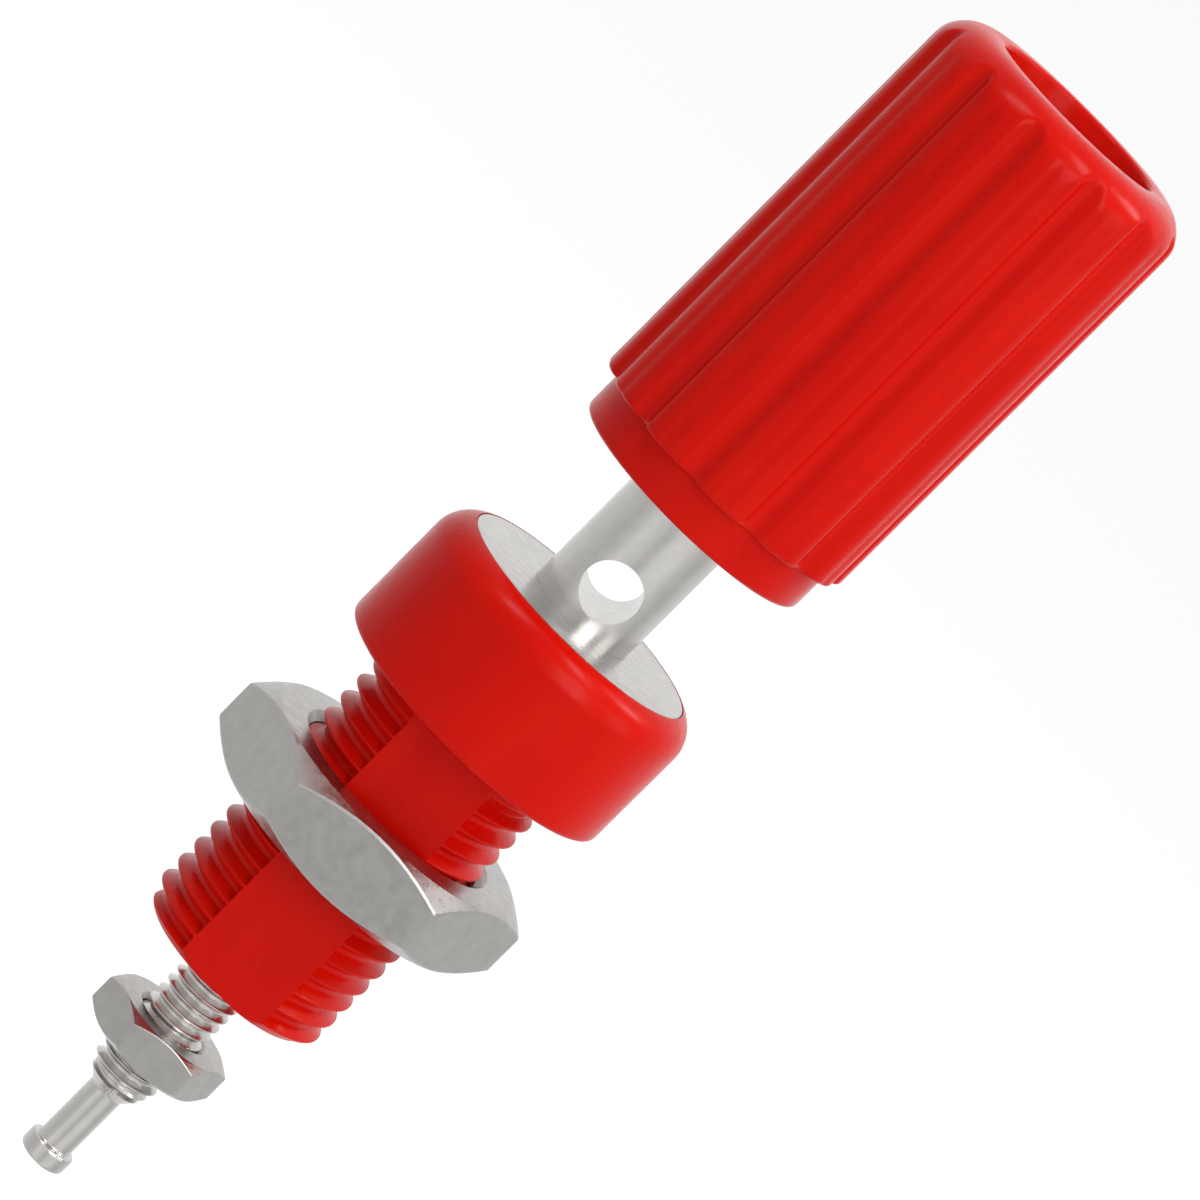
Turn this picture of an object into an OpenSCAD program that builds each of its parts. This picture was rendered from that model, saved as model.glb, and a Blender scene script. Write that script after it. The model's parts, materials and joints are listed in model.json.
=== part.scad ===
// Insulated binding post: a 4 mm socket and clamp terminal that fastens through a panel.
// The origin is on the axis, in the plane where the red collar rests on the panel.
// +Z points out of the panel.

/* [Base collar] */
// Diameter of the insulating collar in front of the panel
collar_d = 17.5; // [16:0.5:24]
// Height of the collar above the panel
collar_h = 8.1; // [6:0.1:12]
// Rounding of the collar's front edge
collar_edge_r = 2; // [1.6:0.1:2.6]
// Step from the collar's side in to the edge of the metal disc
disc_inset = 1.3; // [1:0.1:1.6]
// Thickness of the metal disc that wires are clamped on
disc_t = 1; // [0.6:0.1:2]

/* [Threaded barrel] */
// Outer diameter of the barrel's thread, which is the panel hole's size
barrel_d = 12; // [11:0.5:14]
// Pitch of the barrel's thread
barrel_pitch = 1.25; // [1:0.25:1.75]
// Length of the barrel behind the panel's front plane
barrel_l = 18.8; // [16:0.2:24]
// Unthreaded length of the barrel next to the collar
barrel_plain_l = 0.4; // [0.2:0.1:1]
// Depth of the flat that keeps the barrel from turning in its panel hole
barrel_flat_depth = 0.75; // [0.3:0.05:1]
// Thickness of the barrel's rear wall, which the stud passes through
barrel_floor = 3; // [2:0.5:5]
// Chamfer at the barrel's rear end
barrel_chamfer = 0.65; // [0.3:0.05:1]

/* [Panel nut] */
// Step from the collar's side in to the panel nut's flats
panel_nut_step = 0.25; // [0:0.05:0.5]
// Thickness of the panel nut
panel_nut_t = 4.4; // [3:0.2:6]
// Space between the collar and the panel nut
panel_space = 5.8; // [2:0.2:8]

/* [Post] */
// Diameter of the post's smooth stem
stem_d = 6.4; // [6.2:0.1:7]
// Diameter of the wire hole across the stem
wire_hole_d = 3.4; // [2:0.1:3.6]
// Height of the wire hole's centre above the disc
wire_hole_rise = 2.6; // [2.2:0.1:3.5]
// Outer diameter of the post's thread, under the knob
post_thread_d = 6; // [5.6:0.1:6.1]
// Pitch of the post's thread
post_thread_pitch = 0.75; // [0.5:0.25:1]
// Diameter of the plug socket in the post's end
socket_d = 4; // [3:0.1:4.2]
// Metal left between the wire hole and the socket's floor
socket_floor = 1.5; // [0.8:0.1:3]
// Reach of the swaged lip that keeps the knob on the post
lip_reach = 0.3; // [0.2:0.05:0.5]
// Thickness of the swaged lip
lip_t = 0.8; // [0.5:0.1:1.5]
// Diameter of the keyed neck inside the base
neck_d = 5; // [4.6:0.1:5.4]
// Width across the neck's two flats
neck_af = 4.3; // [4:0.1:4.5]

/* [Rear stud] */
// Outer diameter of the stud's thread
stud_d = 4; // [3:0.5:4]
// Pitch of the stud's thread
stud_pitch = 0.7; // [0.5:0.1:0.8]
// Length of the stud behind the barrel
stud_l = 8.9; // [8:0.1:14]
// Length of the cone between the stud and the solder pin
stud_cone_l = 0.65; // [0.3:0.05:1]
// Width across flats of the rear nut
rear_nut_af = 7.2; // [6:0.1:8]
// Thickness of the rear nut
rear_nut_t = 2.3; // [1.6:0.1:3.2]
// Space between the barrel's end and the rear nut
terminal_space = 4.35; // [1:0.05:4.6]
// Turn of the rear nut about the axis
rear_nut_turn = 5; // [0:1:59]

/* [Solder pin] */
// Diameter of the solder pin
pin_d = 2.1; // [1.5:0.1:2.4]
// Length of the solder pin, up to its head
pin_l = 4.15; // [3:0.05:8]
// Diameter of the pin's head
pin_head_d = 2.85; // [2.6:0.05:3.4]
// Length of the pin's head
pin_head_l = 1.15; // [0.6:0.05:2]

/* [Knob] */
// Diameter over the knob's ribs
knob_d = 16.8; // [16:0.2:20]
// Length of the knob
knob_l = 28.5; // [26:0.5:34]
// Gap between the disc and the knob when it is screwed right out
knob_gap = 8.25; // [7:0.25:11]
// Number of ribs round the knob
rib_count = 12; // [10:1:14]
// Radius of each rib's rounded face
rib_r = 3.2; // [2.6:0.1:4]
// Depth of the grooves between the ribs
groove_depth = 0.6; // [0.3:0.05:0.7]
// Turn of the ribs about the axis
rib_turn = 2; // [0:1:29]
// How far the ribs stand out from the smooth collar at the knob's foot
foot_step = 0.9; // [0.7:0.05:1.2]
// Length of the smooth collar at the knob's foot
foot_l = 2.4; // [1.5:0.1:4]
// Rounding of the knob's outer end
knob_edge_r = 2.4; // [1:0.1:2.6]
// Flat rim left round the recess in the knob's outer end
recess_rim = 0.8; // [0.3:0.1:1.2]
// Depth of the recess in the knob's outer end
recess_depth = 6; // [4:0.5:7]

/* [Threaded insert] */
// Length of the metal insert in the knob
insert_l = 15; // [13:0.5:17]
// Metal wall of the insert round the stem
insert_wall = 1.75; // [1.5:0.05:2]
// Length of the insert's thread, at its inner end
insert_thread_l = 6; // [4:0.5:7]
// Width of the insert's clamping flange outside its barrel
flange_reach = 1; // [0.6:0.1:1.2]
// Thickness of the insert's clamping flange
flange_t = 1.2; // [0.8:0.1:2]

/* [Fits] */
// Radial clearance of the threads
thread_fit = 0.05; // [0.03:0.01:0.08]
// Radial clearance of the insert round the smooth stem
stem_fit = 0.1; // [0.05:0.01:0.15]
// Radial clearance of the disc round the stem, and of disc, neck and stud in the base
seat_fit = 0.03; // [0.02:0.01:0.05]
// Clearance between the knob's plastic and its insert
mould_fit = 0.03; // [0.02:0.01:0.05]
// Clearance that is left where a screwed piece reaches its stop
stop_fit = 0.1; // [0.05:0.05:0.2]
// Radial clearance of the knob's passage round the post's lip
passage_fit = 0.3; // [0.2:0.05:0.5]

/* [Hidden] */
$fn = 96;

// Small step past a face, so that a cut leaves no skin
eps = 0.01;
// Depth of a metric thread, as a share of its pitch
THREAD_DEPTH = 0.5413;
// One ridge of a metric thread: each point's share of the depth and of the pitch, root to root
RIDGE = [[0, 1 / 8], [1, 7 / 16], [1, 9 / 16], [0, 7 / 8]];
// How far the borders of the barrel's flat stay inside the thread's crests
FLAT_MARGIN = 0.05;
// Radius at which a nut's end chamfer starts, as a share of half its width across flats
NUT_FACE_SHARE = 0.985;
// Drop of a nut's end chamfer over each length of its reach
NUT_CHAMFER_SLOPE = tan(34);
// Chamfer at the edges of the pin's head, as a share of the head's length
HEAD_EDGE_SHARE = 0.2;
// Depth of the chamfer at a nut's bore, as a share of the nut's thickness
BORE_CHAMFER_SHARE = 0.1;

// Heights in front of the panel
disc_z = collar_h - disc_t;
crown_z = collar_h + collar_edge_r - sqrt(pow(collar_edge_r, 2) - pow(collar_edge_r - disc_inset, 2));
wire_hole_z = collar_h + wire_hole_rise;
knob_z = collar_h + knob_gap;
knob_top = knob_z + knob_l;
stem_top = collar_h + insert_l - insert_thread_l - stop_fit;
lip_z = knob_z + insert_l + stop_fit;
post_top = lip_z + lip_t;
socket_z = wire_hole_z + wire_hole_d / 2 + socket_floor;
recess_z = knob_top - recess_depth;

// Heights behind the panel
panel_nut_z = -panel_space - panel_nut_t;
neck_z = -barrel_l + barrel_floor + stop_fit;
stud_z = -barrel_l - stud_l;
rear_nut_z = -barrel_l - terminal_space - rear_nut_t;
pin_z = stud_z - stud_cone_l;
head_z = pin_z - pin_l;

// Radii and widths that follow from their neighbours
disc_seat_r = collar_d / 2 - disc_inset;
panel_nut_af = collar_d - 2 * panel_nut_step;
lip_r = post_thread_d / 2 + lip_reach;
insert_bore_r = stem_d / 2 + stem_fit;
insert_r = insert_bore_r + insert_wall;
flange_r = insert_r + flange_reach;
knob_r = knob_d / 2;
recess_r = knob_r - knob_edge_r - recess_rim;
stud_core_r = stud_d / 2 - THREAD_DEPTH * stud_pitch;

RED = [0.82, 0.08, 0.03];
NICKEL = [0.74, 0.73, 0.71];

// Outline of one side of a rod from z = 0 down to -l, with a thread of true depth and pitch.
// The thread starts at the chamfered end, at -l, and runs out at z = 0.
function threaded_side(d, pitch, l, chamfer) =
    let (core = d / 2 - THREAD_DEPTH * pitch, ridges = floor(l / pitch))
    [
        [0, -l],
        [min(core, d / 2 - chamfer), -l],
        for (i = [0:ridges - 1])
            for (p = RIDGE)
                let (rise = (i + p[1]) * pitch, reach = p[0] * THREAD_DEPTH * pitch)
                [min(core + reach, max(core, d / 2 - chamfer + rise)), rise - l],
        [core, 0],
        [0, 0]
    ];

module threaded_rod(d, pitch, l, chamfer = 0) {
    rotate_extrude() polygon(threaded_side(d, pitch, l, chamfer));
}

// Round rod with two parallel flats
module keyed_rod(d, af, l) {
    intersection() {
        cylinder(d = d, h = l);
        translate([-af / 2, -d / 2 - eps, 0]) cube([af, d + 2 * eps, l]);
    }
}

// Hexagonal nut with both ends chamfered, two of its flats square to Y
module hex_nut(af, t, bore_d) {
    corner_r = af / sqrt(3);
    chamfer_r = af / 2 * NUT_FACE_SHARE;
    drop = (corner_r - chamfer_r) * NUT_CHAMFER_SLOPE;
    bore_chamfer = t * BORE_CHAMFER_SHARE;
    difference() {
        intersection() {
            cylinder(r = corner_r, h = t, $fn = 6);
            rotate_extrude() polygon([
                [0, 0], [chamfer_r, 0], [corner_r + eps, drop],
                [corner_r + eps, t - drop], [chamfer_r, t], [0, t]
            ]);
        }
        rotate_extrude() polygon([
            [0, -eps], [bore_d / 2 + bore_chamfer, -eps], [bore_d / 2 + bore_chamfer, 0],
            [bore_d / 2, bore_chamfer], [bore_d / 2, t - bore_chamfer],
            [bore_d / 2 + bore_chamfer, t], [bore_d / 2 + bore_chamfer, t + eps], [0, t + eps]
        ]);
    }
}

// Solid of revolution from z0 to z1 whose upper outer edge is rounded
module round_topped(r, z0, z1, edge_r) {
    rotate_extrude() {
        translate([0, z0]) square([r, z1 - z0 - edge_r]);
        translate([0, z1 - edge_r - eps]) square([r - edge_r, edge_r + eps]);
        translate([r - edge_r, z1 - edge_r]) intersection() {
            circle(r = edge_r);
            square(edge_r);
        }
    }
}

// Threaded barrel with a smooth flat down one side
module flatted_barrel() {
    flat_y = barrel_d / 2 - barrel_flat_depth;
    flat_w = 2 * sqrt(pow(barrel_d / 2 - FLAT_MARGIN, 2) - pow(flat_y, 2));
    difference() {
        union() {
            translate([0, 0, -barrel_plain_l]) cylinder(d = barrel_d, h = barrel_plain_l + eps);
            translate([0, 0, -barrel_plain_l + eps])
                threaded_rod(barrel_d, barrel_pitch, barrel_l - barrel_plain_l + eps, barrel_chamfer);
            translate([-flat_w / 2, -barrel_d, barrel_chamfer - barrel_l])
                cube([flat_w, barrel_d, barrel_l - barrel_chamfer - eps]);
        }
        translate([-barrel_d / 2, -flat_y - 2 * barrel_d, -barrel_l - 1])
            cube([barrel_d, 2 * barrel_d, barrel_l + 2]);
    }
}

// Insulating collar and threaded barrel, moulded in one piece
module bush() {
    color(RED) difference() {
        union() {
            round_topped(collar_d / 2, 0, crown_z, collar_edge_r);
            flatted_barrel();
        }
        translate([0, 0, disc_z]) cylinder(r = disc_seat_r, h = crown_z - disc_z + eps);
        translate([0, 0, neck_z - stop_fit])
            keyed_rod(neck_d + 2 * seat_fit, neck_af + 2 * seat_fit, disc_z - neck_z + stop_fit + eps);
        translate([0, 0, -barrel_l - eps]) cylinder(d = stud_d + 2 * seat_fit, h = barrel_floor + 2 * eps);
    }
}

// Metal disc let into the collar, which wires and spade tags are clamped on
module clamp_disc() {
    color(NICKEL) translate([0, 0, disc_z]) difference() {
        cylinder(r = disc_seat_r - seat_fit, h = disc_t);
        translate([0, 0, -eps]) cylinder(d = stem_d + 2 * seat_fit, h = disc_t + 2 * eps);
    }
}

// Turned post: socket and thread in front, stem with wire hole, keyed neck, rear stud and solder pin
module post() {
    head_edge = pin_head_l * HEAD_EDGE_SHARE;
    color(NICKEL) difference() {
        union() {
            translate([0, 0, lip_z]) threaded_rod(post_thread_d, post_thread_pitch, lip_z - stem_top + eps);
            translate([0, 0, lip_z - eps]) cylinder(r = lip_r, h = lip_t + eps);
            translate([0, 0, disc_z]) cylinder(d = stem_d, h = stem_top - disc_z);
            translate([0, 0, neck_z]) keyed_rod(neck_d, neck_af, disc_z - neck_z + eps);
            translate([0, 0, neck_z + eps]) threaded_rod(stud_d, stud_pitch, neck_z - stud_z + eps);
            translate([0, 0, pin_z]) cylinder(r1 = pin_d / 2, r2 = stud_core_r, h = stud_cone_l + eps);
            translate([0, 0, head_z - eps]) cylinder(d = pin_d, h = pin_l + 2 * eps);
            translate([0, 0, head_z - pin_head_l]) rotate_extrude() polygon([
                [0, 0], [pin_head_d / 2 - head_edge, 0], [pin_head_d / 2, head_edge],
                [pin_head_d / 2, pin_head_l - head_edge], [pin_head_d / 2 - head_edge, pin_head_l],
                [0, pin_head_l]
            ]);
        }
        translate([0, 0, socket_z]) cylinder(d = socket_d, h = post_top - socket_z + eps);
        translate([0, 0, wire_hole_z]) rotate([90, 0, 0])
            cylinder(d = wire_hole_d, h = 2 * stem_d, center = true);
    }
}

// Large nut that clamps the panel against the collar
module panel_nut() {
    color(NICKEL) translate([0, 0, panel_nut_z])
        hex_nut(panel_nut_af, panel_nut_t, barrel_d + 2 * thread_fit);
}

// Small nut that holds a tag or wire on the rear stud
module rear_nut() {
    color(NICKEL) translate([0, 0, rear_nut_z]) rotate([0, 0, rear_nut_turn])
        hex_nut(rear_nut_af, rear_nut_t, stud_d + 2 * thread_fit);
}

// Threaded metal insert, with the flange that does the clamping
module knob_insert() {
    thread_bore_r = post_thread_d / 2 + thread_fit;
    color(NICKEL) translate([0, 0, knob_z]) rotate_extrude() polygon([
        [insert_bore_r, 0], [flange_r, 0], [flange_r, flange_t], [insert_r, flange_t], [insert_r, insert_l],
        [thread_bore_r, insert_l], [thread_bore_r, insert_l - insert_thread_l],
        [insert_bore_r, insert_l - insert_thread_l]
    ]);
}

// Outline of the knob across its ribs: rounded ribs with a narrow groove between each two
module ribbed_outline() {
    groove_r = groove_depth;
    difference() {
        union() {
            circle(r = knob_r - groove_depth);
            for (i = [0:rib_count - 1])
                rotate(i * 360 / rib_count + rib_turn) translate([0, -(knob_r - rib_r)]) circle(r = rib_r);
        }
        for (i = [0:rib_count - 1])
            rotate((i + 0.5) * 360 / rib_count + rib_turn)
                translate([0, -(knob_r - groove_depth + groove_r)]) circle(r = groove_r);
    }
}

// Insulating knob, moulded round its insert, with an open end for a plug
module knob_cap() {
    color(RED) difference() {
        union() {
            translate([0, 0, knob_z]) cylinder(r = knob_r - foot_step, h = foot_l + eps);
            intersection() {
                translate([0, 0, knob_z + foot_l]) linear_extrude(knob_l - foot_l) ribbed_outline();
                round_topped(knob_r + eps, knob_z, knob_top, knob_edge_r);
            }
        }
        translate([0, 0, knob_z - eps]) cylinder(r = flange_r + mould_fit, h = flange_t + mould_fit + eps);
        translate([0, 0, knob_z]) cylinder(r = insert_r + mould_fit, h = insert_l + mould_fit);
        translate([0, 0, knob_z]) cylinder(r = lip_r + passage_fit, h = knob_l);
        translate([0, 0, recess_z]) cylinder(r = recess_r, h = recess_depth + eps);
    }
}

bush();
clamp_disc();
post();
panel_nut();
rear_nut();
knob_insert();
knob_cap();
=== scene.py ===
"""Looks of the binding post: moulded red plastic and nickel-plated brass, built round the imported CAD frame."""
import json
import math

import bmesh
import bpy
from mathutils import Matrix, Vector


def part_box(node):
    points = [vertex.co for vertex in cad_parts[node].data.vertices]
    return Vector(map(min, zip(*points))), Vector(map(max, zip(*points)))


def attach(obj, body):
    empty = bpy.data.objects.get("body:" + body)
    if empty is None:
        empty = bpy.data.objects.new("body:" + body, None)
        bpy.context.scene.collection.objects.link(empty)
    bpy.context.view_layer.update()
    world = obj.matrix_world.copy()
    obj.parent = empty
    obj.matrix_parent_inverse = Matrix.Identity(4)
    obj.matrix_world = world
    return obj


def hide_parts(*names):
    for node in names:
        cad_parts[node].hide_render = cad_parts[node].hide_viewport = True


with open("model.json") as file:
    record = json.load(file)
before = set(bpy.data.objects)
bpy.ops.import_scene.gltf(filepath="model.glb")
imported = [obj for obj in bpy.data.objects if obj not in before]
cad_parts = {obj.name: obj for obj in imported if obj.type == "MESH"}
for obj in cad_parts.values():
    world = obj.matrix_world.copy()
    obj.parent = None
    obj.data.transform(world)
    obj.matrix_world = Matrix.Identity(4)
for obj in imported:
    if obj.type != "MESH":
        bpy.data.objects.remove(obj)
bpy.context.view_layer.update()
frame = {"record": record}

MM = 0.001
TURN = 2 * math.pi
QUARTER = math.pi / 2
FRONT = 1.5 * math.pi
MOUNTS = {mount["name"]: mount for mount in frame["record"]["mounts"]}


# ---------------------------------------------------------------- sizes, in millimetres, from the CAD frame

def low(node, axis=2):
    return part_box(node)[0][axis] / MM


def high(node, axis=2):
    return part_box(node)[1][axis] / MM


def mount_r(name):
    return MOUNTS[name]["dims"]["r_mm"]


def mount_l(name):
    return MOUNTS[name]["dims"]["length_mm"]


def mount_z(name):
    return MOUNTS[name]["pos_m"][2] / MM


COLLAR_R = high("bush", 0)
COLLAR_Z = high("bush")
COLLAR_EDGE_R = 2.0
FIT_GAP = 0.03
SEAT_R = high("clamp_disc", 0) + FIT_GAP
DISC_Z = low("clamp_disc")
DISC_GAP = 0.01
BARREL_R = mount_r("panel_barrel")
BARREL_Z = -mount_l("panel_barrel")
BARREL_PITCH = 1.25
BARREL_PLAIN_L = 0.4
BARREL_FLAT_Y = 5.25
BARREL_CHAMFER = 0.55
BARREL_FLOOR_Z = BARREL_Z + 3
BARREL_NECK_R = 2.53

STEM_R = mount_l("wire_hole") / 2
STEM_TOP = COLLAR_Z + 8.9
WIRE_HOLE_R = mount_r("wire_hole")
WIRE_HOLE_Z = mount_z("wire_hole")
LIP_R = high("post", 0)
LIP_T = 0.8
POST_TOP = high("post")
POST_THREAD_R = 3.0
POST_PITCH = 0.75
POST_CHAMFER = 0.1
SOCKET_R = mount_r("banana_socket")
SOCKET_Z = POST_TOP - mount_l("banana_socket")
STUD_R = mount_r("rear_stud")
STUD_Z = BARREL_Z - mount_l("rear_stud")
STUD_PITCH = 0.7
STUD_CHAMFER = 0.6
STUD_THREAD_TOP = BARREL_Z + 0.6
PIN_R = mount_r("solder_pin")
PIN_TOP = mount_z("solder_pin")
HEAD_TOP = PIN_TOP - mount_l("solder_pin")
HEAD_R = 1.425
POST_BOTTOM = low("post")
POST_NECK_R = 2.45
POST_NECK_Z = BARREL_Z + 3.1

KNOB_R = high("knob_cap", 0)
KNOB_Z = low("knob_cap")
KNOB_TOP = high("knob_cap")
KNOB_EDGE_R = 2.4
RIB_COUNT = 12
RIB_R = 3.2
RIB_TURN = math.radians(2)
RIB_BLEND = 0.2
CROWN_BLEND = 0.15
GROOVE_BOTTOM_R = KNOB_R - 0.6
GROOVE_R = 0.8
FOOT_R = KNOB_R - 0.9
FOOT_TOP = KNOB_Z + 2.4
RECESS_R = 5.2
RECESS_Z = KNOB_TOP - 6
PASSAGE_R = LIP_R + 0.3
INSERT_TOP = high("knob_insert")
FLANGE_R = high("knob_insert", 0)
FLANGE_T = 1.2
INSERT_R = FLANGE_R - 1
INSERT_BORE_R = STEM_R + 0.1

NUT_FACE_SHARE = 0.985
NUT_CHAMFER_SLOPE = math.tan(math.radians(34))

REAR_NUT_HALF_AF = 3.6
REAR_NUT_TURN = math.radians(5)

# Running gap between a thread's crests and the bore round it
THREAD_GAP = 0.05
# Width over which the thread's crests blend into its end chamfer
THREAD_BLEND = 0.06
# Depth of a metric thread as a share of its pitch
THREAD_DEPTH = 0.5413
# One ridge of a thread, from root to root: share of the pitch, share of the depth
RIDGE = [(0, 0), (0.10, 0.02), (0.16, 0.12), (0.40, 0.88), (0.46, 1), (0.54, 1), (0.60, 0.88), (0.84, 0.12),
         (0.90, 0.02), (1, 0)]


# ---------------------------------------------------------------- mesh helpers

def even_angles(count, start=0.0):
    """Angles of the columns round a full turn; the last lies on the first, one turn further on."""
    return [start + TURN * i / count for i in range(count + 1)]


def smooth_min(a, b, blend):
    """The lesser of two values, rounded off over a width of blend where they cross."""
    near = max(blend - abs(a - b), 0) / blend
    return min(a, b) - near * near * blend / 4


def filleted(points, steps=4):
    """An open profile of (r, z, corner radius) points as (r, z) points, with an arc at each rounded corner."""
    profile = []
    for i, (r, z, radius) in enumerate(points):
        if not radius:
            profile.append((r, z))
            continue
        here = Vector((r, z))
        back = (Vector(points[i - 1][:2]) - here).normalized()
        on = (Vector(points[i + 1][:2]) - here).normalized()
        half = back.angle(on) / 2
        centre = here + (back + on).normalized() * radius / math.sin(half)
        spokes = [here + way * radius / math.tan(half) - centre for way in (back, on)]
        sweep = math.pi - 2 * half
        for k in range(steps + 1):
            share = k / steps
            spoke = math.sin((1 - share) * sweep) * spokes[0] + math.sin(share * sweep) * spokes[1]
            profile.append(tuple(centre + spoke / math.sin(sweep)))
    return profile


def rings_of(profile, angles):
    """Rings of a plain turned profile: the same radius and height in every column."""
    return [[point] * len(angles) for point in profile]


def ridge_reach(share):
    """Height of the thread's ridge, as a share of its depth, at a share of the pitch."""
    share %= 1
    for (s0, h0), (s1, h1) in zip(RIDGE, RIDGE[1:]):
        if share <= s1:
            return h0 + (h1 - h0) * (share - s0) / (s1 - s0)
    return 0


def thread_rings(angles, major_r, pitch, free_z, end_z, chamfer, runout=1.0):
    """Rings of a right-handed metric thread, from its chamfered free end to where it runs out, bottom first."""
    depth = THREAD_DEPTH * pitch
    way = 1 if end_z > free_z else -1
    bottom, top = min(free_z, end_z), max(free_z, end_z)
    turns = math.ceil((top - bottom) / pitch) + 1
    rings = []
    for turn in range(-1, turns):
        for share, _ in RIDGE[:-1]:
            ring = []
            for angle in angles:
                lead = (angle - angles[0]) / TURN
                z = min(max(bottom + (turn + share + lead) * pitch, bottom), top)
                groove = depth * (1 - ridge_reach((z - bottom) / pitch - lead))
                groove *= min(max((end_z - z) * way / (runout * pitch), 0), 1)
                cone = major_r - chamfer + (z - free_z) * way
                ring.append((smooth_min(major_r - groove, cone, THREAD_BLEND), z))
            rings.append(ring)
    return rings


def lathe(name, rings, angles, closed=True):
    """A surface of rings, one point for each column angle; closed joins the last ring to the first."""
    mesh_bm = bmesh.new()
    grid = []
    for ring in rings:
        grid.append([mesh_bm.verts.new((r * math.cos(a) * MM, r * math.sin(a) * MM, z * MM))
                     for (r, z), a in zip(ring, angles)])
    pairs = list(zip(grid, grid[1:]))
    if closed:
        pairs.append((grid[-1], grid[0]))
    for one, other in pairs:
        for i in range(len(angles) - 1):
            mesh_bm.faces.new((one[i], one[i + 1], other[i + 1], other[i]))
    bmesh.ops.remove_doubles(mesh_bm, verts=mesh_bm.verts, dist=1e-7)
    bmesh.ops.recalc_face_normals(mesh_bm, faces=mesh_bm.faces)
    return add_mesh(name, mesh_bm)


def add_mesh(name, mesh_bm):
    mesh = bpy.data.meshes.new(name)
    mesh_bm.to_mesh(mesh)
    mesh_bm.free()
    piece = bpy.data.objects.new(name, mesh)
    bpy.context.scene.collection.objects.link(piece)
    return piece


def cut(piece, cutter):
    """Takes the cutter's solid away from the piece."""
    modifier = piece.modifiers.new("cut", "BOOLEAN")
    modifier.operation = "DIFFERENCE"
    modifier.solver = "EXACT"
    modifier.object = cutter
    bpy.context.view_layer.update()
    result = bpy.data.meshes.new_from_object(piece.evaluated_get(bpy.context.evaluated_depsgraph_get()))
    piece.modifiers.clear()
    piece.data = result
    bpy.data.objects.remove(cutter)


def finish(piece, body, node, material, sharp=35):
    """Gives the piece its shading, material and body, and hides the CAD node that it stands in for."""
    piece.data.materials.clear()
    piece.data.materials.append(material)
    piece.data.shade_smooth()
    piece.data.set_sharp_from_angle(angle=math.radians(sharp))
    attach(piece, body)
    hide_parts(node)


# ---------------------------------------------------------------- materials

ROUGHNESS_SPREAD = 0.05


def new_material(name):
    """A material with its node tree and its shader."""
    material = bpy.data.materials.new(name)
    material.use_nodes = True
    tree = material.node_tree
    return material, tree, tree.nodes["Principled BSDF"]


def noise(tree, scale, detail=2.0, stretch=(1, 1, 1)):
    """Noise in the object's own space; scale is in features per metre."""
    place = tree.nodes.new("ShaderNodeTexCoord")
    mapping = tree.nodes.new("ShaderNodeMapping")
    mapping.inputs["Scale"].default_value = stretch
    tree.links.new(place.outputs["Object"], mapping.inputs["Vector"])
    texture = tree.nodes.new("ShaderNodeTexNoise")
    texture.inputs["Scale"].default_value = scale
    texture.inputs["Detail"].default_value = detail
    tree.links.new(mapping.outputs["Vector"], texture.inputs["Vector"])
    return texture.outputs["Fac"]


def ramp(tree, source, low_value, high_value):
    """Maps the middle of a noise to a range of values."""
    node = tree.nodes.new("ShaderNodeMapRange")
    node.inputs["From Min"].default_value = 0.3
    node.inputs["From Max"].default_value = 0.7
    node.inputs["To Min"].default_value = low_value
    node.inputs["To Max"].default_value = high_value
    tree.links.new(source, node.inputs["Value"])
    return node.outputs["Result"]


def colour_between(tree, source, one, other):
    """A colour that runs from one to the other as the source runs from 0 to 1."""
    node = tree.nodes.new("ShaderNodeMix")
    node.data_type = "RGBA"
    colours = [socket for socket in node.inputs if socket.type == "RGBA"]
    colours[0].default_value = (*one, 1)
    colours[1].default_value = (*other, 1)
    tree.links.new(source, node.inputs["Factor"])
    return next(socket for socket in node.outputs if socket.type == "RGBA")


def bump(tree, shader, source, distance):
    """Raises and lowers the surface by the source, over a distance in metres."""
    node = tree.nodes.new("ShaderNodeBump")
    node.inputs["Distance"].default_value = distance
    tree.links.new(source, node.inputs["Height"])
    tree.links.new(node.outputs["Normal"], shader.inputs["Normal"])


def red_plastic(name, low_red, high_red, roughness):
    """Glossy moulded plastic with faint flow clouds in its colour and a slight orange-peel surface."""
    material, tree, shader = new_material(name)
    clouds = ramp(tree, noise(tree, 220, 3, (1, 1, 0.4)), 0, 1)
    tree.links.new(colour_between(tree, clouds, low_red, high_red), shader.inputs["Base Color"])
    gloss = ramp(tree, noise(tree, 900), roughness - ROUGHNESS_SPREAD, roughness + ROUGHNESS_SPREAD)
    tree.links.new(gloss, shader.inputs["Roughness"])
    shader.inputs["Specular IOR Level"].default_value = 0.12
    bump(tree, shader, noise(tree, 1500, 1), 0.00001)
    return material


def nickel(name, bright, roughness, grain, stretch, depth):
    """Nickel plate. Grain and stretch set how fine the tool marks are and which way they run."""
    material, tree, shader = new_material(name)
    tones = [(tone, 0.975 * tone, 0.94 * tone) for tone in (bright - 0.02, bright + 0.02)]
    clouds = ramp(tree, noise(tree, 1200, 3), 0, 1)
    tree.links.new(colour_between(tree, clouds, *tones), shader.inputs["Base Color"])
    shader.inputs["Metallic"].default_value = 1
    gloss = ramp(tree, noise(tree, 1800, 2), roughness - ROUGHNESS_SPREAD, roughness + ROUGHNESS_SPREAD)
    tree.links.new(gloss, shader.inputs["Roughness"])
    bump(tree, shader, noise(tree, grain, 2, stretch), depth)
    return material


# ---------------------------------------------------------------- bush: collar and threaded barrel

def flat_half_angle():
    """Angle from the middle of the flat to its border at the thread's crests."""
    return math.acos(BARREL_FLAT_Y / BARREL_R)


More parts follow.
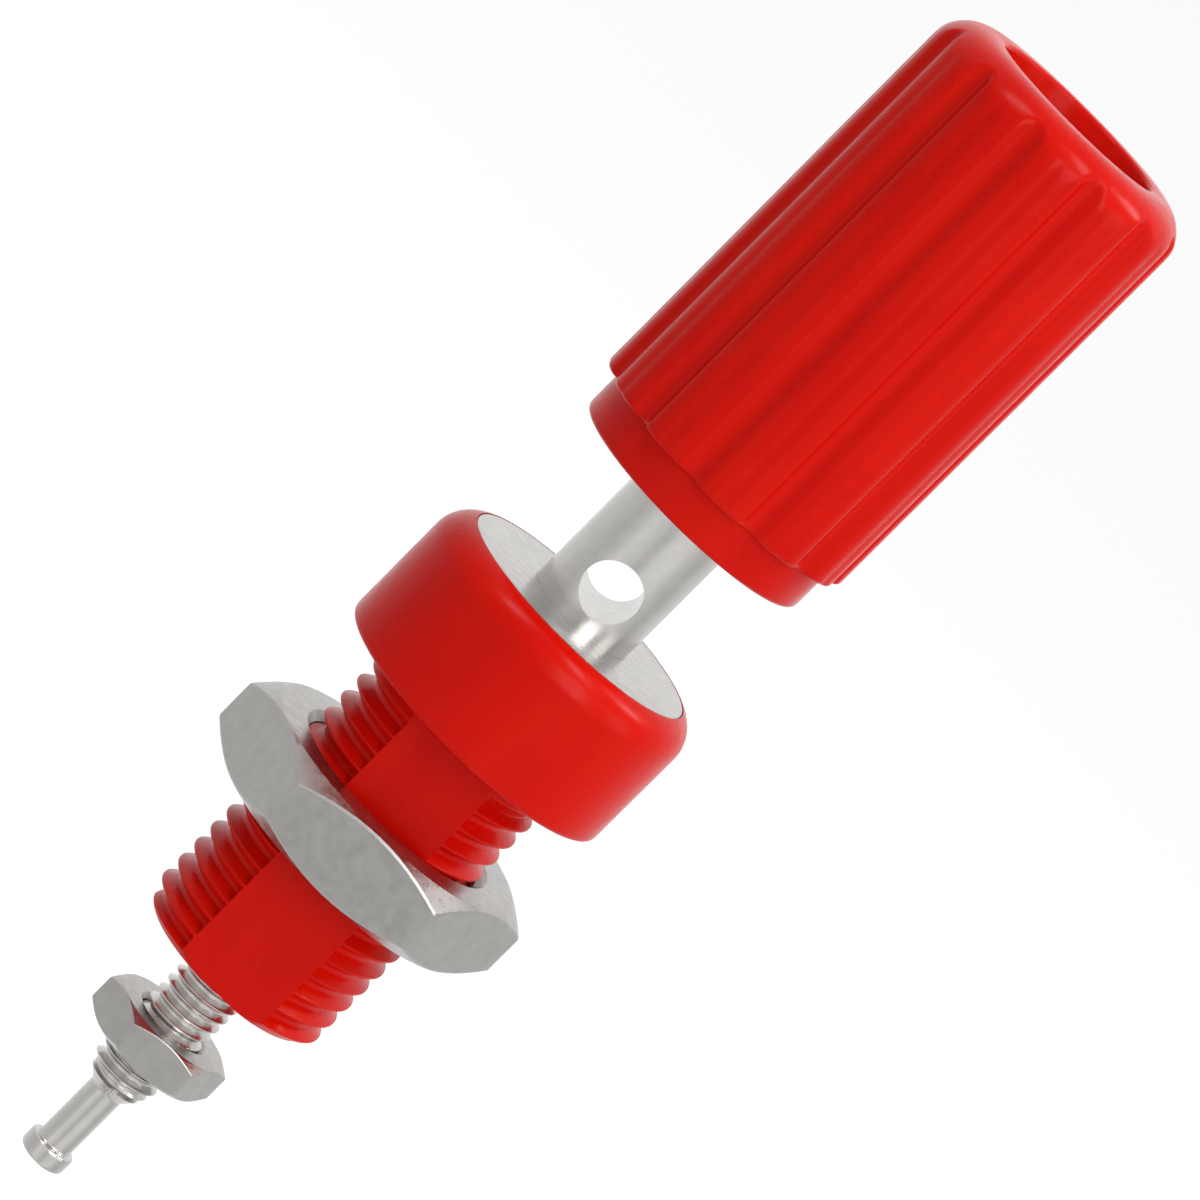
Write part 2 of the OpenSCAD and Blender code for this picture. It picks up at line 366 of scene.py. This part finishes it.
def bush_angles():
    """Even columns, with two close ones at each border of the flat, which faces -Y."""
    borders = [FRONT + side * flat_half_angle() for side in (-1, 1)]
    step = math.radians(0.4)
    angles = [angle for angle in even_angles(96)
              if all(abs(angle - border) > 2 * step for border in borders)]
    angles += [border + side * step for border in borders for side in (-1, 1)]
    return sorted(angles)


def with_flat(ring, angles):
    """The ring with its flat filled or cut to the flat's plane."""
    flatted = []
    for (r, z), angle in zip(ring, angles):
        off = abs(angle - FRONT)
        if off < flat_half_angle():
            r = min(BARREL_FLAT_Y / math.cos(off), BARREL_R - BARREL_CHAMFER + z - BARREL_Z)
        flatted.append((r, z))
    return flatted


def make_bush(material):
    angles = bush_angles()
    arc_r = COLLAR_R - COLLAR_EDGE_R
    arc_z = COLLAR_Z - math.sqrt(COLLAR_EDGE_R ** 2 - (SEAT_R - arc_r) ** 2)
    arc_end = math.asin((COLLAR_Z - arc_z) / COLLAR_EDGE_R)
    turns = [arc_end * i / 16 for i in range(17)]
    arc = [(arc_r + COLLAR_EDGE_R * math.cos(turn), arc_z + COLLAR_EDGE_R * math.sin(turn)) for turn in turns]
    bore_r = STUD_R + FIT_GAP
    # Points part of the way across the barrel's end and the collar's underside
    end_r, underside_r = 3.6, 7
    inside = filleted([(BARREL_NECK_R, DISC_Z, 0), (BARREL_NECK_R, BARREL_FLOOR_Z, 0),
                       (bore_r, BARREL_FLOOR_Z, 0), (bore_r, BARREL_Z, 0.12), (end_r, BARREL_Z, 0)])
    outside = filleted([(BARREL_R, -0.15, 0), (BARREL_R, 0, 0.1), (underside_r, 0, 0), (COLLAR_R, 0, 0.3),
                        (COLLAR_R, 1, 0)])
    seat = [(SEAT_R + 0.02, COLLAR_Z - 0.02), (SEAT_R, COLLAR_Z - 0.08), (SEAT_R, DISC_Z)]
    thread = thread_rings(angles, BARREL_R, BARREL_PITCH, BARREL_Z, -BARREL_PLAIN_L, BARREL_CHAMFER)
    barrel = [with_flat(ring, angles) for ring in thread + rings_of(outside[:2], angles)]
    rings = rings_of(inside, angles) + barrel + rings_of(outside[2:] + arc + seat, angles)
    piece = lathe("collar_and_barrel", rings, angles)
    finish(piece, "base", "bush", material)


# ---------------------------------------------------------------- post and clamp disc

def make_post(material):
    angles = even_angles(96)
    thread_top = POST_TOP - LIP_T
    stud_core_r = STUD_R - THREAD_DEPTH * STUD_PITCH
    socket = filleted([(0, SOCKET_Z - 1, 0), (SOCKET_R, SOCKET_Z, 0), (SOCKET_R, POST_TOP, 0.25),
                       (LIP_R, POST_TOP, 0.3), (LIP_R, thread_top, 0.12), (POST_THREAD_R, thread_top, 0)])
    front = thread_rings(angles, POST_THREAD_R, POST_PITCH, thread_top, STEM_TOP, POST_CHAMFER)[::-1]
    stem = filleted([(POST_THREAD_R, STEM_TOP, 0), (STEM_R, STEM_TOP, 0.2), (STEM_R, STEM_TOP - 1, 0)])
    # Rows that keep the stem's shading even where the wire hole is cut through it
    stem_rows = 40
    stem_run = DISC_Z + 0.1 - STEM_TOP + 1
    stem += [(STEM_R, STEM_TOP - 1 + stem_run * i / stem_rows) for i in range(1, stem_rows + 1)]
    neck = [(STEM_R, DISC_Z), (POST_NECK_R, DISC_Z), (POST_NECK_R, POST_NECK_Z), (STUD_R, POST_NECK_Z)]
    rear = thread_rings(angles, STUD_R, STUD_PITCH, STUD_Z, STUD_THREAD_TOP, STUD_CHAMFER)[::-1]
    pin = filleted([(stud_core_r, STUD_Z, 0), (PIN_R, PIN_TOP, 0.3), (PIN_R, HEAD_TOP, 0.12),
                    (HEAD_R, HEAD_TOP, 0.2), (HEAD_R, POST_BOTTOM, 0.3), (0, POST_BOTTOM, 0)])
    rings = rings_of(socket, angles) + front + rings_of(stem + neck, angles) + rear + rings_of(pin, angles)
    piece = lathe("socket_post", rings, angles, closed=False)
    reach = STEM_R + 1
    hole = [(0, -reach), (WIRE_HOLE_R, -reach), (WIRE_HOLE_R, reach), (0, reach)]
    around = even_angles(64)
    cutter = lathe("wire_hole_cutter", rings_of(hole, around), around, closed=False)
    cutter.matrix_world = Matrix.Translation((0, 0, WIRE_HOLE_Z * MM)) @ Matrix.Rotation(QUARTER, 4, "X")
    cut(piece, cutter)
    finish(piece, "base", "post", material)


def make_disc(material):
    angles = even_angles(128)
    outer = high("clamp_disc", 0)
    bore = STEM_R + DISC_GAP
    profile = filleted([(bore, DISC_Z, 0), (bore, COLLAR_Z, 0), ((bore + outer) / 2, COLLAR_Z, 0),
                        (outer, COLLAR_Z, 0.1), (outer, DISC_Z, 0)])
    piece = lathe("clamp_disc_turned", rings_of(profile, angles), angles)
    finish(piece, "base", "clamp_disc", material)


# ---------------------------------------------------------------- nuts

def nut_angles(turn, corner_step):
    """Columns round a hexagon, close together at its corners; its first flat faces +Y when turn is 0."""
    offsets = [corner_step * i for i in range(-2, 3)]
    offsets += [math.radians(5 + 5 * i) for i in range(11)]
    corners = [turn + TURN * i / 6 for i in range(6)]
    angles = sorted((corner + offset) % TURN for corner in corners for offset in offsets)
    return angles + [angles[0] + TURN]


def hexagon_r(angle, half_af, turn, corner_fillet):
    """Radius of a hexagon's side at an angle, with its corners rounded."""
    off = (angle - turn + TURN / 12) % (TURN / 6) - TURN / 12
    centre = (half_af - corner_fillet) / math.cos(TURN / 12)
    tangent = math.atan2(corner_fillet * math.sin(TURN / 12), centre + corner_fillet * math.cos(TURN / 12))
    if abs(off) < tangent:
        return centre * math.cos(off) + math.sqrt(corner_fillet ** 2 - (centre * math.sin(off)) ** 2)
    return half_af / math.cos(TURN / 12 - abs(off))


def make_nut(name, node, body, turn, half_af, bore_r, material):
    """A hexagonal nut with rounded corners, a fine bevel on its edges and chamfered ends and bore."""
    corner_fillet = half_af * 0.015
    corner_step = math.atan2(corner_fillet / 2, half_af / math.cos(TURN / 12)) / 2
    angles = nut_angles(turn, corner_step)
    bottom, top = low(node), high(node)
    bevel = half_af * 0.01
    chamfer = (top - bottom) * 0.1
    face_r = half_af * NUT_FACE_SHARE
    sides = [hexagon_r(angle, half_af, turn, corner_fillet) for angle in angles]

    def chamfered_end(end, way):
        """Rings from the bore to the side, at one end; way is 1 at the top and -1 at the bottom."""
        flat = [(bore_r, end - way * chamfer), (bore_r + chamfer, end), (face_r - 2 * bevel, end)]
        rings = rings_of(flat, angles)
        rings.append([(min(face_r, side), end - way * 0.2 * bevel) for side in sides])
        for inset, drop in ((bevel, 0), (0, bevel)):
            rings.append([(side - inset, end - way * ((side - inset - face_r) * NUT_CHAMFER_SLOPE + drop))
                          for side in sides])
        return rings

    rings = chamfered_end(top, 1) + chamfered_end(bottom, -1)[::-1]
    piece = lathe(name, rings, angles)
    finish(piece, body, node, material, sharp=25)


# ---------------------------------------------------------------- knob and its insert

def rib_r(angle):
    """Radius of the ribbed side at an angle: round-faced ribs with a soft groove between each two."""
    pitch = TURN / RIB_COUNT
    off = (angle - FRONT - RIB_TURN + pitch / 2) % pitch - pitch / 2
    centre = KNOB_R - RIB_R
    rib = centre * math.cos(off) + math.sqrt(RIB_R ** 2 - (centre * math.sin(off)) ** 2)
    groove_off = pitch / 2 - abs(off)
    side_step = (GROOVE_BOTTOM_R + GROOVE_R) * math.sin(groove_off)
    groove = (GROOVE_BOTTOM_R + GROOVE_R) * math.cos(groove_off)
    groove -= math.sqrt(max(GROOVE_R ** 2 - side_step ** 2, 0))
    return smooth_min(rib, groove, RIB_BLEND)


def make_knob(material):
    angles = even_angles(RIB_COUNT * 24, RIB_TURN)
    ribs = [rib_r(angle) for angle in angles]
    draft = 0.03
    edge = 0.25
    crown_z = KNOB_TOP - KNOB_EDGE_R
    seat_r, seat_z = INSERT_R + FIT_GAP, INSERT_TOP + FIT_GAP
    pocket_r, pocket_z = FLANGE_R + FIT_GAP, KNOB_Z + FLANGE_T + FIT_GAP
    inner = filleted([(PASSAGE_R, seat_z, 0), (seat_r, seat_z, 0), (seat_r, pocket_z, 0),
                      (pocket_r, pocket_z, 0), (pocket_r, KNOB_Z, 0.15), (FOOT_R, KNOB_Z, 0.3),
                      (FOOT_R, FOOT_TOP, 0)])
    rings = rings_of(inner, angles)
    for i in range(6):
        turn = QUARTER * i / 5
        z = FOOT_TOP + edge - edge * math.cos(turn)
        rings.append([(rib - edge + edge * math.sin(turn), z) for rib in ribs])
    side_rows = 12
    for i in range(1, side_rows):
        share = i / side_rows
        z = FOOT_TOP + edge + (crown_z - FOOT_TOP - edge) * share
        rings.append([(rib - draft * share, z) for rib in ribs])
    crown_rows = 28
    for i in range(crown_rows + 1):
        turn = QUARTER * i / crown_rows
        crown_r = KNOB_R - KNOB_EDGE_R + KNOB_EDGE_R * math.cos(turn)
        z = crown_z + KNOB_EDGE_R * math.sin(turn)
        rings.append([(smooth_min(rib - draft, crown_r, CROWN_BLEND), z) for rib in ribs])
    recess = filleted([(KNOB_R - KNOB_EDGE_R - 0.2, KNOB_TOP, 0), (RECESS_R, KNOB_TOP, 0.25),
                       (RECESS_R, RECESS_Z, 0.3), (PASSAGE_R, RECESS_Z, 0.15), (PASSAGE_R, RECESS_Z - 1, 0)])
    rings += rings_of(recess, angles)
    piece = lathe("ribbed_knob", rings, angles)
    finish(piece, "knob", "knob_cap", material)


def make_insert(material):
    angles = even_angles(96)
    thread_r = POST_THREAD_R + THREAD_GAP
    bore_top = KNOB_Z + 9
    profile = filleted([(INSERT_BORE_R, bore_top, 0), (INSERT_BORE_R, KNOB_Z, 0.2), (FLANGE_R, KNOB_Z, 0.12),
                        (FLANGE_R, KNOB_Z + FLANGE_T, 0.1), (INSERT_R, KNOB_Z + FLANGE_T, 0),
                        (INSERT_R, INSERT_TOP, 0.15), (thread_r, INSERT_TOP, 0.1), (thread_r, bore_top, 0)])
    piece = lathe("knob_insert_turned", rings_of(profile, angles), angles)
    finish(piece, "insert", "knob_insert", material)


# ---------------------------------------------------------------- camera

CAMERA_TARGET_Z = 9.4 * MM
CAMERA_SIDE_STEP = 0.13 * MM
CAMERA_DISTANCE = 344 * MM
CAMERA_AZIMUTH = math.radians(-5)
CAMERA_ELEVATION = math.radians(11.5)
CAMERA_ROLL = math.radians(45)


def make_camera():
    """Looks along +Y from a little above, rolled so that the post leans to the upper right of the picture."""
    sin_a, cos_a = math.sin(CAMERA_AZIMUTH), math.cos(CAMERA_AZIMUTH)
    sin_e, cos_e = math.sin(CAMERA_ELEVATION), math.cos(CAMERA_ELEVATION)
    back = Vector((sin_a * cos_e, -cos_a * cos_e, sin_e))
    right = Vector((cos_a, sin_a, 0))
    up = back.cross(right)
    target = Vector((0, 0, CAMERA_TARGET_Z)) + CAMERA_SIDE_STEP * right
    rolled_right = math.cos(CAMERA_ROLL) * right + math.sin(CAMERA_ROLL) * up
    rolled_up = back.cross(rolled_right)
    data = bpy.data.cameras.new("camera")
    data.lens = 198
    data.sensor_width = 36
    data.clip_start = 0.01
    data.clip_end = 50
    camera = bpy.data.objects.new("camera", data)
    turn = Matrix((rolled_right, rolled_up, back)).transposed().to_4x4()
    camera.matrix_world = Matrix.Translation(target + CAMERA_DISTANCE * back) @ turn
    bpy.context.scene.collection.objects.link(camera)
    bpy.context.scene.camera = camera


# ---------------------------------------------------------------- light, background and floor

LAMP_TARGET = Vector((0, 0, 0.01))
# Directions and distance of the strip lamps, whose glints lie on the collar's and the knob's rounded edges
STRIP_WAYS = [(-0.425, -0.179, 0.887), (0.285, -0.298, 0.911), (0.627, 0.163, 0.762)]
STRIP_DISTANCE = 0.42


def area_light(name, place, size, power):
    """A rectangular lamp that shines on the post."""
    data = bpy.data.lights.new(name, "AREA")
    data.shape = "RECTANGLE"
    data.size, data.size_y = size
    data.energy = power
    lamp = bpy.data.objects.new(name, data)
    lamp.location = place
    lamp.rotation_euler = (Vector(place) - LAMP_TARGET).to_track_quat("Z", "Y").to_euler()
    bpy.context.scene.collection.objects.link(lamp)


def background(tree, strength):
    """A white background of the given strength."""
    node = tree.nodes.new("ShaderNodeBackground")
    node.inputs["Color"].default_value = (1, 1, 1, 1)
    node.inputs["Strength"].default_value = strength
    return node


# Brightness of the studio in reflections, by half turns from the right (+X) towards the back (+Y)
STUDIO = [(-1.0, 0.68), (-0.88, 0.62), (-0.78, 0.70), (-0.68, 0.92), (-0.56, 0.80), (-0.47, 0.60),
          (-0.36, 0.85), (-0.22, 0.90), (-0.08, 0.66), (0.02, 0.60), (0.19, 0.80), (0.5, 1.0), (0.8, 0.80),
          (1.0, 0.68)]


def studio_brightness(tree):
    """Reads the studio's brightness for the ray's direction from a ramp round the horizon."""
    place = tree.nodes.new("ShaderNodeTexCoord")
    apart = tree.nodes.new("ShaderNodeSeparateXYZ")
    tree.links.new(place.outputs["Generated"], apart.inputs[0])
    azimuth = tree.nodes.new("ShaderNodeMath")
    azimuth.operation = "ARCTAN2"
    tree.links.new(apart.outputs["Y"], azimuth.inputs[0])
    tree.links.new(apart.outputs["X"], azimuth.inputs[1])
    share = tree.nodes.new("ShaderNodeMapRange")
    share.inputs["From Min"].default_value = -math.pi
    share.inputs["From Max"].default_value = math.pi
    tree.links.new(azimuth.outputs[0], share.inputs["Value"])
    around = tree.nodes.new("ShaderNodeValToRGB")
    around.color_ramp.interpolation = "EASE"
    stops = around.color_ramp.elements
    stops.remove(stops[0])
    for i, (turn, bright) in enumerate(STUDIO):
        position = (turn + 1) / 2
        stop = stops[0] if i == 0 else stops.new(position)
        stop.position = position
        stop.color = (bright, bright, bright, 1)
    tree.links.new(share.outputs[0], around.inputs["Fac"])
    return around.outputs["Color"]


def make_world():
    """White for the camera, a banded studio in reflections, and plain ambient light on all else."""
    world = bpy.data.worlds.new("studio")
    bpy.context.scene.world = world
    world.use_nodes = True
    tree = world.node_tree
    tree.nodes.clear()
    path = tree.nodes.new("ShaderNodeLightPath")
    mirrored = background(tree, 1)
    tree.links.new(studio_brightness(tree), mirrored.inputs["Color"])
    ambient = background(tree, 0.32)
    white = background(tree, 1)
    mix_glossy = tree.nodes.new("ShaderNodeMixShader")
    tree.links.new(path.outputs["Is Glossy Ray"], mix_glossy.inputs[0])
    tree.links.new(ambient.outputs[0], mix_glossy.inputs[1])
    tree.links.new(mirrored.outputs[0], mix_glossy.inputs[2])
    seen = tree.nodes.new("ShaderNodeMath")
    seen.operation = "MAXIMUM"
    tree.links.new(path.outputs["Is Camera Ray"], seen.inputs[0])
    tree.links.new(path.outputs["Is Transmission Ray"], seen.inputs[1])
    mix_seen = tree.nodes.new("ShaderNodeMixShader")
    tree.links.new(seen.outputs[0], mix_seen.inputs[0])
    tree.links.new(mix_glossy.outputs[0], mix_seen.inputs[1])
    tree.links.new(white.outputs[0], mix_seen.inputs[2])
    out = tree.nodes.new("ShaderNodeOutputWorld")
    tree.links.new(mix_seen.outputs[0], out.inputs["Surface"])


FLOOR_Z = -0.095
FLOOR_HALF = 3.0


def make_floor():
    """Pale floor well below the post, which keeps a faint shadow of it."""
    mesh_bm = bmesh.new()
    signs = ((-1, -1), (1, -1), (1, 1), (-1, 1))
    mesh_bm.faces.new([mesh_bm.verts.new((FLOOR_HALF * x, FLOOR_HALF * y, FLOOR_Z)) for x, y in signs])
    floor = add_mesh("floor", mesh_bm)
    material, tree, shader = new_material("pale_floor")
    shader.inputs["Base Color"].default_value = (0.8, 0.8, 0.8, 1)
    shader.inputs["Roughness"].default_value = 0.9
    shader.inputs["Specular IOR Level"].default_value = 0
    path = tree.nodes.new("ShaderNodeLightPath")
    strength = tree.nodes.new("ShaderNodeMath")
    strength.operation = "MULTIPLY"
    strength.inputs[1].default_value = 0.7
    tree.links.new(path.outputs["Is Camera Ray"], strength.inputs[0])
    shader.inputs["Emission Color"].default_value = (1, 1, 1, 1)
    tree.links.new(strength.outputs[0], shader.inputs["Emission Strength"])
    floor.data.materials.append(material)
    floor.visible_glossy = False


# ---------------------------------------------------------------- the scene

make_camera()
make_world()
make_floor()
area_light("key", (0.16, -0.34, 0.17), (0.20, 0.30), 0.56)
area_light("side", (0.37, -0.13, 0.12), (0.16, 0.24), 0.14)
for i, way in enumerate(STRIP_WAYS):
    area_light(f"strip_{i}", STRIP_DISTANCE * Vector(way), (0.03, 0.14), 0.28)

cap_red = red_plastic("moulded_red", (0.73, 0.004, 0.0005), (0.79, 0.008, 0.001), 0.25)
turned = nickel("turned_nickel", 0.64, 0.22, 6000, (0.02, 0.02, 1), 0.000003)
faced = nickel("faced_nickel", 0.57, 0.28, 4000, (1, 1, 1), 0.000002)
milled = nickel("milled_nickel", 0.46, 0.30, 2500, (1, 1, 1), 0.0000015)

make_bush(cap_red)
make_post(turned)
make_disc(faced)
make_nut("hex_panel_nut", "panel_nut", "large_nut", 0, high("panel_nut", 1), BARREL_R + THREAD_GAP, milled)
make_nut("hex_rear_nut", "rear_nut", "small_nut", REAR_NUT_TURN, REAR_NUT_HALF_AF, STUD_R + THREAD_GAP,
         milled)
make_knob(cap_red)
make_insert(turned)

bpy.context.scene.view_settings.view_transform = "Standard"
